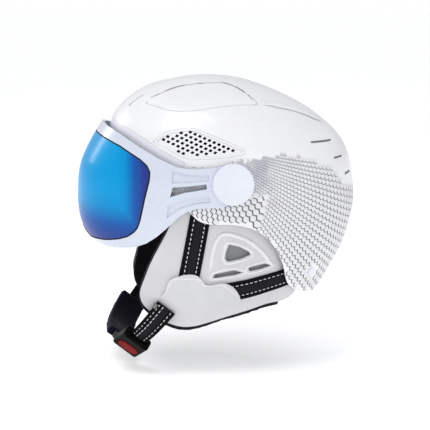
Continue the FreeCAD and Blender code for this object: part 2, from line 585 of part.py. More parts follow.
def make_bands():
    low, high = BAND_Z - BAND_HEIGHT / 2, BAND_Z + BAND_HEIGHT / 2
    slot_half = PINION_RADIUS + 0.4
    for side, outer in (("left", BAND_RADIUS), ("right", BAND_RADIUS - BAND_SPACING)):
        band = upright_ring(outer, outer - BAND_THICKNESS, low, high).common(band_sector(*BAND_REACH))
        slot = upright_ring(outer + 1, outer - 3, BAND_Z - slot_half, BAND_Z + slot_half)
        band = band.cut(slot.common(band_sector(*BAND_SLOT)))
        save("fit_band_" + side, band if side == "left" else mirrored(band))


def make_dial():
    rear = BAND_CENTRE_Y + BAND_RADIUS
    half = BAND_HEIGHT / 2 + 0.4
    housing = block((-17, 17), (rear - 5.5, rear + 5.5), (BAND_Z - 13, BAND_Z + 13))
    hanger = block((-8, 8), (rear + 2.8, rear + 5.5), (BAND_Z + 12, BAND_Z + 22))
    path = upright_ring(BAND_RADIUS + 0.4, BAND_RADIUS - 3.8, BAND_Z - half, BAND_Z + half)
    bore = rearwards(PINION_RADIUS + 0.5, 12, 0, -4.5, 0)
    save("fit_dial_housing", housing.fuse(hanger).cut([path, bore]))
    pinion = rearwards(PINION_RADIUS, 8.2, 0, -4.2, 0)
    save("fit_pinion", pinion.cut(round_the_dial(12, 0.6, PINION_RADIUS, -4.2, 8.2)))
    dial = rearwards(DIAL_RADIUS, 6.5, 0, 5.9, 0)
    dial = dial.makeFillet(1.5, [e for e in dial.Edges if e.Closed and e.BoundBox.YMin > rear + 12])
    neck = rearwards(PINION_RADIUS - 1, 1.9, 0, 4.0, 0)
    save("fit_dial", dial.cut(round_the_dial(18, 1.1, DIAL_RADIUS + 0.3, 5.5, 8)).fuse(neck))
    cradle = upright_ring(BAND_RADIUS - 6.8, BAND_RADIUS - 13, BAND_Z - 15, BAND_Z + 15)
    save("nape_cradle", cradle.common(band_sector(-26, 26)))


os.makedirs("parts", exist_ok=True)
make_shell()
make_grilles()
make_liner()
make_visor()
make_pivots()
make_guards()
make_guard_straps()
rear_studs()
make_buckle()
make_chin_straps()
make_bands()
make_dial()
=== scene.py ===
"""Looks of the ski helmet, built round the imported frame. Outlines are in millimetres."""
import json
import math

import bmesh
import bpy
import numpy as np
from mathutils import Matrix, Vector
from mathutils.bvhtree import BVHTree


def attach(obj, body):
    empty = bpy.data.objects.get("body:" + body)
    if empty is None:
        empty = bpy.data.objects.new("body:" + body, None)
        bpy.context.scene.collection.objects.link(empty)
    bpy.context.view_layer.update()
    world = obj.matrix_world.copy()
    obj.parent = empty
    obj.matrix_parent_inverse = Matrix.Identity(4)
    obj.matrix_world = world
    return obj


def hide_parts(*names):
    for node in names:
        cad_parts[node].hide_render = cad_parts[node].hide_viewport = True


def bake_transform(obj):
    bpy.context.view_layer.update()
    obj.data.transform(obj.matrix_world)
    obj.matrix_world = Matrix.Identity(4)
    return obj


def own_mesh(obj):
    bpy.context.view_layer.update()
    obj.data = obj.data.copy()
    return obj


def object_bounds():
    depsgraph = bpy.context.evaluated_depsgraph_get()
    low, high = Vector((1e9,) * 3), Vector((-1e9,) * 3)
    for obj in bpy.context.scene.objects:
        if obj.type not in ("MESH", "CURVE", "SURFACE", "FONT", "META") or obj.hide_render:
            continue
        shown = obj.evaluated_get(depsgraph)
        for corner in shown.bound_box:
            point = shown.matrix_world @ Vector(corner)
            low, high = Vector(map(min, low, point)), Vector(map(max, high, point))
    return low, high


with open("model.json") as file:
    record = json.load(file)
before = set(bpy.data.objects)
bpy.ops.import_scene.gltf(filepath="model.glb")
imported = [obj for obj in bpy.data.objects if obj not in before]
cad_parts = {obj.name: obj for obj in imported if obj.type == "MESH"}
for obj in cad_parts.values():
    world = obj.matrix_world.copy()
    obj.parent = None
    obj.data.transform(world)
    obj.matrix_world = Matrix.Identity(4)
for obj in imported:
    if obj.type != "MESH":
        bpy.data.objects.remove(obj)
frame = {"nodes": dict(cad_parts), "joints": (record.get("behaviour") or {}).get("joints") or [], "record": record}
cad_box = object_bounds()
nodes = frame["nodes"]
MM = 0.001
PIVOT = (-13.0, 62.0)                 # y, z of the axis that every surface is built round
ROUNDNESS = 2.1
FLAT_TURN = math.radians(80)          # the surfaces are flat from here to the axis
SHELL_HALF_WIDTH, GUARD_HALF_WIDTH = 107.0, 98.0
COVER_THICKNESS = 3.4
STRAP_HALF_WIDTH, STRAP_THICKNESS = 9.5, 1.6

# Radius of each profile in degrees up from straight ahead, round the pivot axis
SHELL = [(0, 110), (14, 114.5), (25, 122.5), (34, 121.5), (43, 117.5), (51, 113), (61, 106.5),
         (72, 101.5), (88, 97.5), (105, 96.5), (120, 98.5), (131, 102.5), (144, 111), (154, 119.5),
         (162, 127.5), (171, 134.5), (181, 138.5), (189, 142.5), (202, 146.5), (212, 150.5),
         (221, 154), (231, 161.5), (250, 172), (270, 169), (290, 164), (310, 157.5),
         (330, 141.5), (346, 121)]
GUARD = [(0, 150), (30, 125), (60, 106), (100, 96), (140, 110), (180, 134), (200, 140),
         (215, 144), (228, 149), (236, 157), (243, 170), (252, 190), (261, 218), (272, 222),
         (288, 215), (307, 194), (328, 174)]


# --- The family of surfaces that shell and guards are cut from ------------------------------
class Surface:
    """A profile scaled down towards the sides, as x for any (y, z) seen from the side."""

    def __init__(self, profile, half_width):
        self.half_width = half_width
        angles = np.radians([a for a, _ in profile])
        radii = np.array([r for _, r in profile], float)
        points = np.column_stack([-radii * np.cos(angles), radii * np.sin(angles)])
        curve = closed_spline(points, 24)
        turn = np.arctan2(curve[:, 1], -curve[:, 0]) % (2 * math.pi)
        order = np.argsort(turn)
        self.turn, self.radius = turn[order], np.hypot(curve[:, 0], curve[:, 1])[order]

    def reach(self, turn):
        return np.interp(turn % (2 * math.pi), self.turn, self.radius, period=2 * math.pi)

    def x(self, y, z, lift=0.0):
        """How far out the surface is; lift raises it."""
        dy, dz = y - PIVOT[0], z - PIVOT[1]
        share = np.hypot(dy, dz) / (self.reach(np.arctan2(dz, -dy)) + lift)
        flat = math.sin(FLAT_TURN) ** (2 / ROUNDNESS)
        rest = np.clip(1 - np.minimum(share, 0.9999) ** ROUNDNESS, 0, None) ** (1 / ROUNDNESS)
        return (self.half_width + lift) * np.minimum(rest, flat)

    def point(self, y, z, lift=0.0):
        return np.array([float(self.x(y, z, lift)), y, z])

    def normal(self, y, z):
        step = 0.3
        base = self.point(y, z)
        a, b = self.point(y + step, z) - base, self.point(y, z + step) - base
        n = np.cross(a, b)
        return n / np.linalg.norm(n)


def closed_spline(points, steps):
    """A smooth closed curve through the points, as the frame's profiles are."""
    ends = np.roll(points, -1, axis=0)
    h = np.linalg.norm(ends - points, axis=1)
    count = len(points)
    system, right = np.zeros((count, count)), np.zeros((count, 2))
    for i in range(count):
        before = h[i - 1]
        system[i, i - 1] += before
        system[i, i] += 2 * (before + h[i])
        system[i, (i + 1) % count] += h[i]
        right[i] = 6 * ((ends[i] - points[i]) / h[i] - (points[i] - points[i - 1]) / before)
    bend = np.linalg.solve(system, right)
    out = []
    for i in range(count):
        j = (i + 1) % count
        for s in np.arange(steps) / steps:
            a, b = (1 - s), s
            out.append(a * points[i] + b * points[j]
                       + h[i] ** 2 / 6 * ((a ** 3 - a) * bend[i] + (b ** 3 - b) * bend[j]))
    return np.array(out)


shell_surface = Surface(SHELL, SHELL_HALF_WIDTH)
guard_surface = Surface(GUARD, GUARD_HALF_WIDTH)


# --- Meshes ---------------------------------------------------------------------------------
def make_object(name, points, faces, material, body, slot):
    """A smooth mesh in millimetres as a piece that rides on a body, if one is given."""
    mesh = bpy.data.meshes.new(name)
    mesh.from_pydata([tuple(float(c) * MM for c in p) for p in points], [], faces)
    mesh.validate()
    piece = bpy.data.objects.new(name, mesh)
    bpy.context.scene.collection.objects.link(piece)
    fix_normals(mesh)
    mesh.materials.append(material)
    mesh.shade_smooth()
    if body:
        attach(piece, body)
    return piece


def fix_normals(mesh):
    work = bmesh.new()
    work.from_mesh(mesh)
    bmesh.ops.recalc_face_normals(work, faces=work.faces)
    work.to_mesh(mesh)
    work.free()


def both_sides(points, faces):
    """The mesh and its mirror image."""
    count = len(points)
    flipped = [(-p[0], p[1], p[2]) for p in points]
    return list(points) + flipped, list(faces) + [tuple(i + count for i in reversed(f)) for f in faces]


# --- Materials ------------------------------------------------------------------------------
class Material:
    """A node material with short calls for the nodes it needs."""

    def __init__(self, name):
        self.material = bpy.data.materials.new(name)
        self.material.use_nodes = True
        self.tree = self.material.node_tree
        self.shader = self.tree.nodes["Principled BSDF"]
        self.place = self.add("ShaderNodeTexCoord").outputs["Object"]

    def add(self, kind, inputs=None, **settings):
        node = self.tree.nodes.new(kind)
        for key, value in settings.items():
            setattr(node, key, value)
        for key, value in (inputs or {}).items():
            self.put(node.inputs[key], value)
        return node

    def put(self, socket, value):
        if isinstance(value, bpy.types.NodeSocket):
            self.tree.links.new(value, socket)
        elif isinstance(value, (tuple, list)) and len(value) == 3 and socket.type == "RGBA":
            socket.default_value = (*value, 1)
        else:
            socket.default_value = value

    def set(self, **values):
        for key, value in values.items():
            self.put(self.shader.inputs[key.replace("_", " ")], value)

    def noise(self, scale, detail=3.0, place=None, rough=0.55):
        return self.add("ShaderNodeTexNoise", {"Vector": place or self.place, "Scale": scale,
                                               "Detail": detail, "Roughness": rough}).outputs["Fac"]

    def cells(self, scale, place=None, feature="F1"):
        return self.add("ShaderNodeTexVoronoi", {"Vector": place or self.place, "Scale": scale},
                        feature=feature).outputs["Distance"]

    def level(self, value, low, high, start=0.0, end=1.0):
        """value's share of start to end, spread over low to high."""
        return self.add("ShaderNodeMapRange", {"Value": value, "From Min": start, "From Max": end,
                                               "To Min": low, "To Max": high}).outputs["Result"]

    def colours(self, value, stops):
        ramp = self.add("ShaderNodeValToRGB", {"Fac": value})
        points = ramp.color_ramp.elements
        while len(points) < len(stops):
            points.new(0.5)
        for point, (position, colour) in zip(points, stops):
            point.position = position
            point.color = (*colour, 1)
        return ramp.outputs["Color"]

    def maths(self, operation, a, b=0.0):
        node = self.add("ShaderNodeMath", operation=operation)
        self.put(node.inputs[0], a)
        self.put(node.inputs[1], b)
        return node.outputs[0]

    def bump(self, height, strength, distance, normal=None):
        node = self.add("ShaderNodeBump", {"Height": height, "Strength": strength,
                                           "Distance": distance * MM})
        if normal:
            self.put(node.inputs["Normal"], normal)
        return node.outputs["Normal"]

    def stretched(self, scale, place=None):
        return self.add("ShaderNodeMapping", {"Vector": place or self.place,
                                              "Scale": scale}).outputs["Vector"]


def plastic(name, low, high, rough, grain, grain_depth, coat=0.0, shine=0.5):
    """Moulded plastic: slight colour drift, handling marks in the gloss and a fine grain."""
    m = Material(name)
    m.set(Base_Color=m.colours(m.noise(28), [(0.3, low), (0.7, high)]),
          Roughness=m.level(m.noise(90, 5), rough - 0.05, rough + 0.06, 0.3, 0.7),
          Coat_Weight=coat, Coat_Roughness=0.12, IOR=1.47, Specular_IOR_Level=shine)
    drift = m.bump(m.noise(30, 1), 0.02, 0.4)
    m.set(Normal=m.bump(m.noise(grain, 4), grain_depth, 0.05, drift))
    return m.material


shell_white = plastic("shell_white", (0.84, 0.84, 0.86), (0.87, 0.87, 0.885), 0.30, 1200, 0.02, 0.3)
visor_white = plastic("visor_white", (0.61, 0.66, 0.76), (0.65, 0.70, 0.80), 0.26, 1200, 0.02, 0.4)
cap_white = plastic("cap_white", (0.72, 0.75, 0.83), (0.77, 0.80, 0.88), 0.28, 1200, 0.1, 0.4)
guard_grey = plastic("guard_grey", (0.61, 0.605, 0.62), (0.66, 0.655, 0.67), 0.42, 1500, 0.4)
cover_grey = plastic("cover_grey", (0.60, 0.60, 0.62), (0.66, 0.66, 0.68), 0.38, 1500, 0.5)
# Lavender white, lifted to offset the shade in the deep slot between visor and shell: partly the strip's own tone,
# partly painted light.
brow_band = plastic("brow_band", (0.84, 0.83, 0.89), (0.88, 0.87, 0.93), 0.45, 1200, 0.15)
buckle_black = plastic("buckle_black", (0.002, 0.002, 0.002), (0.004, 0.004, 0.004), 0.42, 1400, 0.4,
                       shine=0.05)
keeper_grey = plastic("keeper_grey", (0.17, 0.17, 0.17), (0.24, 0.24, 0.24), 0.5, 1400, 0.4, shine=0.2)
slider_grey = plastic("slider_grey", (0.045, 0.045, 0.05), (0.065, 0.065, 0.07), 0.4, 1400, 0.5, shine=0.4)
button_red = plastic("button_red", (0.15, 0.002, 0.003), (0.20, 0.003, 0.004), 0.35, 900, 0.2, shine=0.06)
washer_nylon = plastic("washer_nylon", (0.55, 0.55, 0.52), (0.62, 0.62, 0.58), 0.45, 1200, 0.3)
fit_plastic = plastic("fit_plastic", (0.028, 0.028, 0.030), (0.04, 0.04, 0.042), 0.45, 1500, 0.5,
                      shine=0.4)
lens_rubber = plastic("lens_rubber", (0.004, 0.006, 0.02), (0.007, 0.009, 0.03), 0.6, 1500, 0.4,
                      shine=0.15)
# Lighter copy of the guard grey for the raised ridges and rims: painted highlight along their crests.
guard_edge_highlight = plastic("guard_edge_highlight", (0.74, 0.74, 0.75), (0.80, 0.80, 0.81), 0.34, 1500, 0.4, 0.2)
# Dark grey for the bead along the crown cover's upper edge: painted shade for the shadow line in the gap there.
seam_shade = plastic("seam_shade", (0.20, 0.20, 0.22), (0.26, 0.26, 0.28), 0.5, 1500, 0.3, shine=0.2)
# Near-black for the small dashes above the visor arm: painted shade for the shade inside two small slots.
slot_shade = plastic("slot_shade", (0.02, 0.02, 0.022), (0.03, 0.03, 0.032), 0.6, 1500, 0.4, shine=0.15)


def make_lens():
    """Mirror coating that shifts from cyan in the middle to indigo towards the outer edge."""
    m = Material("mirror_lens")
    split = m.add("ShaderNodeSeparateXYZ", {"Vector": m.place})
    down = m.level(split.outputs["Z"], 0.0, 0.95, 0.050, 0.002)
    back = m.level(split.outputs["Y"], 0.0, 0.95, -0.122, -0.096)
    edge = m.add("ShaderNodeLayerWeight", {"Blend": 0.35}).outputs["Facing"]
    cloud = m.level(m.noise(14, 2), -0.03, 0.03, 0.3, 0.7)
    drift = m.maths("ADD", m.maths("MULTIPLY", edge, 0.06), cloud)
    tone = m.maths("ADD", m.maths("MAXIMUM", down, back), drift)
    m.set(Base_Color=m.colours(tone, [(0.0, (0.0, 0.32, 0.68)), (0.3, (0.0, 0.27, 0.62)),
                                      (0.62, (0.008, 0.10, 0.40)), (1.0, (0.025, 0.035, 0.24))]),
          Metallic=0.0, Roughness=0.3, Specular_IOR_Level=0.1, Coat_Weight=0.12, Coat_Roughness=0.18,
          Coat_IOR=1.4, Normal=m.bump(m.noise(35, 2), 0.03, 0.4))
    return m.material


def make_metal():
    m = Material("pivot_metal")
    lines = m.noise(900, 3, m.stretched((0.05, 1, 1)))
    m.set(Base_Color=m.colours(lines, [(0.3, (0.36, 0.36, 0.37)), (0.7, (0.55, 0.55, 0.55))]),
          Metallic=1.0, Roughness=m.level(lines, 0.24, 0.42, 0.3, 0.7), Normal=m.bump(lines, 0.2, 0.05))
    return m.material


def make_foam():
    """Expanded beads pressed together, with a moulded skin."""
    m = Material("liner_foam")
    edge = m.cells(260, feature="DISTANCE_TO_EDGE")
    m.set(Base_Color=m.colours(edge, [(0.0, (0.006, 0.006, 0.007)), (0.25, (0.022, 0.022, 0.024))]),
          Roughness=m.level(edge, 0.85, 0.6, 0.0, 0.3),
          Normal=m.bump(m.level(edge, 0, 1, 0, 0.12), 0.5, 0.25))
    return m.material


def make_knit(name, low, high, pitch, depth, sheen):
    """Knitted or brushed cloth: interlaced rows of small loops and a soft nap."""
    m = Material(name)
    rows = m.add("ShaderNodeTexWave", {"Vector": m.place, "Scale": pitch, "Distortion": 0.8,
                                       "Detail": 1.0}, bands_direction="Z").outputs["Fac"]
    wales = m.add("ShaderNodeTexWave", {"Vector": m.place, "Scale": pitch, "Distortion": 0.8,
                                        "Detail": 1.0}, bands_direction="DIAGONAL").outputs["Fac"]
    loops = m.maths("MULTIPLY", rows, wales)
    nap = m.noise(1800, 4)
    height = m.maths("ADD", loops, m.maths("MULTIPLY", nap, 0.5))
    shade = m.maths("ADD", m.maths("MULTIPLY", loops, 0.6), m.maths("MULTIPLY", m.noise(60), 0.5))
    m.set(Base_Color=m.colours(shade, [(0.15, low), (0.8, high)]),
          Roughness=m.level(nap, 0.85, 0.98, 0.3, 0.7), Sheen_Weight=sheen, Sheen_Roughness=0.45,
          Specular_IOR_Level=0.15, Normal=m.bump(height, depth, 0.3))
    return m.material


def make_mesh_cloth():
    """Woven mesh: crossed threads over dark openings."""
    m = Material("vent_mesh")
    split = m.add("ShaderNodeSeparateXYZ", {"Vector": m.place})
    threads = []
    for mix in (1.0, -1.0):
        along = m.maths("ADD", split.outputs["Y"], m.maths("MULTIPLY", split.outputs["Z"], mix))
        threads.append(m.maths("ABSOLUTE", m.maths("SINE", m.maths("MULTIPLY", along, 2600))))
    weave = m.maths("MAXIMUM", threads[0], threads[1])
    m.set(Base_Color=m.colours(weave, [(0.35, (0.05, 0.05, 0.053)), (0.85, (0.26, 0.27, 0.28))]),
          Roughness=0.7, Normal=m.bump(weave, 0.6, 0.2))
    return m.material


def make_webbing():
    m = Material("webbing")
    fibres = m.noise(2400, 3, m.stretched((1, 1, 0.25)))
    middle = m.add("ShaderNodeAttribute", attribute_name="middle").outputs["Fac"]
    # The ribbed middle is lighter in stripes: partly the webbing's own grey middle, partly painted sheen on its
    # ribs.
    lit = m.maths("ADD", m.maths("MULTIPLY", middle, 0.5), m.maths("MULTIPLY", fibres, 0.5))
    m.set(Base_Color=m.colours(lit, [(0.15, (0.002, 0.002, 0.003)), (0.85, (0.021, 0.021, 0.023))]),
          Roughness=m.level(fibres, 0.6, 0.8, 0.3, 0.7), Specular_IOR_Level=0.05,
          Normal=m.bump(fibres, 0.6, 0.15))
    return m.material


def make_thread():
    m = Material("thread_white")
    twist = m.add("ShaderNodeTexWave", {"Vector": m.place, "Scale": 900.0, "Distortion": 1.5},
                  bands_direction="DIAGONAL").outputs["Fac"]
    m.set(Base_Color=m.colours(twist, [(0.1, (0.55, 0.55, 0.55)), (0.8, (0.85, 0.85, 0.85))]),
          Roughness=0.7, Sheen_Weight=0.2, Normal=m.bump(twist, 0.5, 0.1))
    return m.material


def make_scale_white():
    """The shell's white with painted shade: near-black in the grooves between scales and darker on each scale's
    lower front edge, with a lavender cast where the scales are finest.
    """
    m = Material("scale_white")
    rise = m.add("ShaderNodeAttribute", attribute_name="rise").outputs["Fac"]
    tint = m.add("ShaderNodeAttribute", attribute_name="tint").outputs["Fac"]
    patch = m.level(m.noise(38, 4), 0, 1, 0.42, 0.62)
    top = m.add("ShaderNodeMix", {"Factor": m.maths("MULTIPLY", tint, patch), "A": (0.77, 0.77, 0.79),
                                  "B": (0.50, 0.49, 0.56)}, data_type="RGBA")
    # Painted shade: the colour falls to near-black where rise is low, in the grooves and on each scale's lower
    # front edge.
    mix = m.add("ShaderNodeMix", {"Factor": m.level(rise, 0, 1, 0.34, 0.74), "A": (0.055, 0.055, 0.065),
                                  "B": top.outputs["Result"]}, data_type="RGBA")
    m.set(Base_Color=mix.outputs["Result"], Roughness=m.level(m.noise(120, 4), 0.34, 0.46, 0.3, 0.7),
          Normal=m.bump(m.noise(900, 4), 0.35, 0.12))
    return m.material


liner_foam = make_foam()
mirror_lens = make_lens()
pivot_metal = make_metal()
vent_mesh = make_mesh_cloth()
webbing, thread_white = make_webbing(), make_thread()
scale_white = make_scale_white()
pad_fabric = make_knit("pad_fabric", (0.004, 0.004, 0.005), (0.014, 0.014, 0.016), 420, 0.5, 0.06)
face_foam = make_knit("face_foam", (0.004, 0.004, 0.005), (0.012, 0.012, 0.013), 700, 0.4, 0.05)
chin_fleece = make_knit("chin_fleece", (0.003, 0.003, 0.008), (0.008, 0.008, 0.020), 700, 0.25, 0.08)


FINISHES = {
    "shell_white": shell_white, "brow_band": brow_band, "liner_foam": liner_foam,
    "pad_fabric": pad_fabric, "visor_white": visor_white, "mirror_lens": mirror_lens,
    "lens_rubber": lens_rubber, "face_foam": face_foam, "pivot_metal": pivot_metal,
    "washer_nylon": washer_nylon, "guard_grey": guard_grey, "vent_mesh": vent_mesh,
    "webbing": buckle_black, "buckle_black": buckle_black, "button_red": button_red,
    "chin_fleece": chin_fleece, "fit_plastic": fit_plastic,
}
OWN_FINISHES = {
    "pivot_cap_left": cap_white, "pivot_cap_right": cap_white, "strap_slider": slider_grey,
    "strap_cover_left": cover_grey, "strap_cover_right": cover_grey,
    "rear_stud_left": cap_white, "rear_stud_right": cap_white,
}
for part in frame["record"]["subparts"]:
    piece = nodes[part["node"]]
    piece.data.materials.clear()
    piece.data.materials.append(OWN_FINISHES.get(part["node"], FINISHES[part["material_slot"]]))


# --- Camera, floor and light ----------------------------------------------------------------
def look_at(location, target):
    return (Vector(target) - Vector(location)).to_track_quat("-Z", "Y").to_euler()


CAMERA_DISTANCE, CAMERA_LENS = 1.25, 99.67
CAMERA_SHIFT = (-0.0168, 0.0126)      # where it looks, right of and above the origin


def make_camera():
    """The photograph's view: 7 degrees forward of square to the left side, 10 degrees up."""
    ahead, up = math.radians(7), math.radians(10)
    out = Vector((math.cos(ahead) * math.cos(up), -math.sin(ahead) * math.cos(up), math.sin(up)))
    right = Vector((math.sin(ahead), math.cos(ahead), 0))
    above = Vector((-math.cos(ahead) * math.sin(up), math.sin(ahead) * math.sin(up), math.cos(up)))
    target = right * CAMERA_SHIFT[0] + above * CAMERA_SHIFT[1]
    data = bpy.data.cameras.new("camera")
    data.lens, data.sensor_width, data.clip_end = CAMERA_LENS, 36, 200
    camera = bpy.data.objects.new("camera", data)
    camera.location = target + out * CAMERA_DISTANCE
    camera.rotation_euler = look_at(camera.location, target)
    bpy.context.scene.collection.objects.link(camera)
    bpy.context.scene.camera = camera


def make_light(name, location, size, power, colour=(1, 1, 1), target=(0, 0, 0.03)):
    data = bpy.data.lights.new(name, "AREA")
    data.shape, data.size, data.size_y = "RECTANGLE", size[0], size[1]
    data.energy, data.color = power, colour
    light = bpy.data.objects.new(name, data)
    light.location, light.rotation_euler = location, look_at(location, target)
    bpy.context.scene.collection.objects.link(light)


def make_stage():
    mesh = bpy.data.meshes.new("floor")
    floor_z = cad_box[0][2] - 0.012
    corners = [(-60, -60, floor_z), (60, -60, floor_z), (60, 60, floor_z), (-60, 60, floor_z)]
    mesh.from_pydata(corners, [], [(0, 1, 2, 3)])
    floor = bpy.data.objects.new("floor", mesh)
    bpy.context.scene.collection.objects.link(floor)
    m = Material("floor")
    m.set(Base_Color=m.colours(m.noise(3), [(0.3, (0.93, 0.93, 0.93)), (0.7, (0.95, 0.95, 0.95))]),
          Roughness=0.9, Emission_Color=(1, 1, 1), Emission_Strength=0.42)
    mesh.materials.append(m.material)
    world = bpy.data.worlds.new("studio")
    world.use_nodes = True
    tree = world.node_tree
    sky = tree.nodes["Background"]
    sky.inputs["Color"].default_value = (0.97, 0.98, 1, 1)
    sky.inputs["Strength"].default_value = 0.62
    backdrop = tree.nodes.new("ShaderNodeBackground")
    backdrop.inputs["Color"].default_value = (1, 1, 1, 1)
    rays, choose = tree.nodes.new("ShaderNodeLightPath"), tree.nodes.new("ShaderNodeMixShader")
    tree.links.new(rays.outputs["Is Camera Ray"], choose.inputs[0])
    tree.links.new(sky.outputs[0], choose.inputs[1])
    tree.links.new(backdrop.outputs[0], choose.inputs[2])
    tree.links.new(choose.outputs[0], tree.nodes["World Output"].inputs["Surface"])
    bpy.context.scene.world = world
    bpy.context.scene.view_settings.view_transform = "Standard"


make_camera()
make_stage()
make_light("key", (0.5, -0.5, 1.5), (0.8, 0.8), 9)
make_light("fill", (1.6, 0.5, 0.5), (0.9, 0.9), 2.5, (0.95, 0.96, 1.0))
make_light("lens_strip", (-1.15, -1.42, 0.7), (0.22, 0.55), 5)


# --- Scale relief on the shell --------------------------------------------------------------
# Outlines on the shell and the guards, as (y, z)
RIM = [(-66, 41), (-54.4, 34.5), (-46.9, 27), (-35.4, 22.5), (-18, 21.9), (-6.5, 20.5), (6.3, 17),
       (17.5, 10.4), (28, -0.5), (36, -13.8), (41, -26), (46.7, -43.7), (58.7, -54.2), (72, -60), (90, -62)]
RELIEF_TOP = [(-63, 41), (-72, 52), (-58, 66), (-38, 74), (-20.3, 80.8), (-5.7, 85.2), (4, 85.5), (15.9, 86),
              (29.1, 88.2), (44.7, 88.8), (60.5, 86), (76.9, 79.4), (94.8, 69.1), (103.9, 58.8),
              (122, 48)]
RELIEF_CENTRE = (-45.0, 100.0)
FINE_ROWS, COARSE_ROWS = 88, 46
ROW_TURN = 217               # direction of the row whose scales set the spacing of the rings, in degrees
FIRST_RING, LAST_RING = 25.0, 280.0
CELL_HALF_HEIGHT = 0.289     # of a cell's width, which makes its six sides equal
SPINE_HALF_WIDTH = 27.0
STUD = (73.0, -35.0)


def is_inside(outline, y, z):
    """Whether a closed outline holds the point."""
    found = False
    for (y0, z0), (y1, z1) in zip(outline, outline[1:] + outline[:1]):
        if (z0 > z) != (z1 > z) and y < y0 + (z - z0) * (y1 - y0) / (z1 - z0):
            found = not found
    return found


def distance_to(line, y, z):
    """How far the point is from an open line."""
    best = 1e9
    for (y0, z0), (y1, z1) in zip(line, line[1:]):
        dy, dz = y1 - y0, z1 - z0
        s = min(1, max(0, ((y - y0) * dy + (z - z0) * dz) / (dy * dy + dz * dz)))
        best = min(best, math.hypot(y - y0 - s * dy, z - z0 - s * dz))
    return best


def tree_of(*names):
    """The frame's nodes as one search tree."""
    points, faces = [], []
    for name in names:
        mesh, first = nodes[name].data, len(points)
        points += [v.co for v in mesh.vertices]
        faces += [tuple(first + i for i in p.vertices) for p in mesh.polygons]
    return BVHTree.FromPolygons(points, faces)


def settle(tree, point, normal, lift):
    """The point moved onto the frame's own surface, then raised."""
    found = tree.find_nearest(Vector(point) * MM, 1.2 * MM)
    base = np.array(found[0]) / MM if found[0] else np.array(point)
    return base + np.array(normal) * lift


def row_starts(rows):
    """Arc lengths of the rings and, for each direction, distance from the centre by arc length."""
    tables = []
    for column in range(2 * rows):
        angle = math.pi * column / rows
        rho = np.arange(0, LAST_RING, 1.0)
        y = RELIEF_CENTRE[0] - rho * math.cos(angle)
        z = RELIEF_CENTRE[1] + rho * math.sin(angle)
        x = shell_surface.x(y, z)
        length = np.concatenate([[0], np.cumsum(np.hypot(np.diff(rho), np.diff(x)))])
        usable = x > 15
        tables.append((rho[usable], length[usable]))
    rho, length = tables[round(ROW_TURN / 180 * rows)]
    starts, at = [], FIRST_RING
    while at < LAST_RING:
        starts.append(at)
        at += CELL_HALF_HEIGHT * 2 * math.pi / rows * float(np.interp(at, length, rho))
    return starts, tables


def cell_outline(width, rounding, gap):
    """Corners of one cell of the staggered grid, and the scale's own edge, drawn in on its lower front."""
    side, half = width / 3, CELL_HALF_HEIGHT * width
    corners = [(side, 0), (side / 2, half), (-side / 2, half), (-side, 0), (-side / 2, -half),
               (side / 2, -half)]
    cell, edge, dark = [], [], []
    for (t0, r0), (t1, r1) in zip(corners, corners[1:] + corners[:1]):
        for s in (0.0, 1 / 3, 2 / 3):
            t, r = t0 + (t1 - t0) * s, r0 + (r1 - r0) * s
            cell.append((t, r))
            angle = math.atan2(r, t)
            deep = min(1.0, max(0.0, (-math.cos(angle) - 0.05) / 0.4))
            drawn_in = 0.95 - gap * deep
            ring_t, ring_r = math.cos(angle) * half * 1.04, math.sin(angle) * half
            edge.append(((t * (1 - rounding) + ring_t * rounding) * drawn_in,
                         (r * (1 - rounding) + ring_r * rounding) * drawn_in))
            # How much painted shade each outline point gets: most on the lower front side, where one scale
            # overlaps the next.
            dark.append(deep)
    return cell, edge, dark


def in_coarse_zone(y, z, margin):
    """Whether the place is in the lower front corner, where the scales are round and coarse."""
    return y < 16 + 0.25 * (z - 20) - margin and z < 50 - margin


def make_relief():
    """Moulded scales that grow from the pivot towards the back, in rings round one centre."""
    random = np.random.default_rng(7)
    tree = tree_of("outer_shell")
    outline = RELIEF_TOP + [(150, 40), (150, -75), (90, -75)] + list(reversed(RIM))
    mesh = [], [], [], []
    for rows in (FINE_ROWS, COARSE_ROWS):
        starts, tables = row_starts(rows)
        for ring, start in enumerate(starts):
            for column in range(ring % 2, 2 * rows, 2):
                rho, length = tables[column]
                if start >= length[-1] - 2:
                    continue
                angle = math.pi * column / rows
                reach = float(np.interp(start, length, rho))
                y = RELIEF_CENTRE[0] - reach * math.cos(angle)
                z = RELIEF_CENTRE[1] + reach * math.sin(angle)
                width = reach * 2 * math.pi / rows
                coarse = rows == COARSE_ROWS
                if in_coarse_zone(y, z, 0 if coarse else 3) != coarse or not is_inside(outline, y, z):
                    continue
                below_top, above_rim = distance_to(RELIEF_TOP, y, z), distance_to(RIM, y, z)
                kept = random.random() < 0.25 + below_top / 6
                if shell_surface.x(y, z) < SPINE_HALF_WIDTH or above_rim < 0.2 * width + 0.5 or not kept:
                    continue
                if math.hypot(y - STUD[0], z - STUD[1]) > 7:
                    add_scale(mesh, tree, (y, z), angle, width, below_top, coarse)
    points, faces = both_sides(mesh[0], mesh[1])
    piece = make_object("shell_relief", points, faces, scale_white, "helmet", "shell_white")
    # rise carries the painted shade of the grooves, tint the lavender cast.
    for name, values in (("rise", mesh[2]), ("tint", mesh[3])):
        layer = piece.data.attributes.new(name, "FLOAT", "POINT")
        layer.data.foreach_set("value", np.array(values * 2, np.float32))


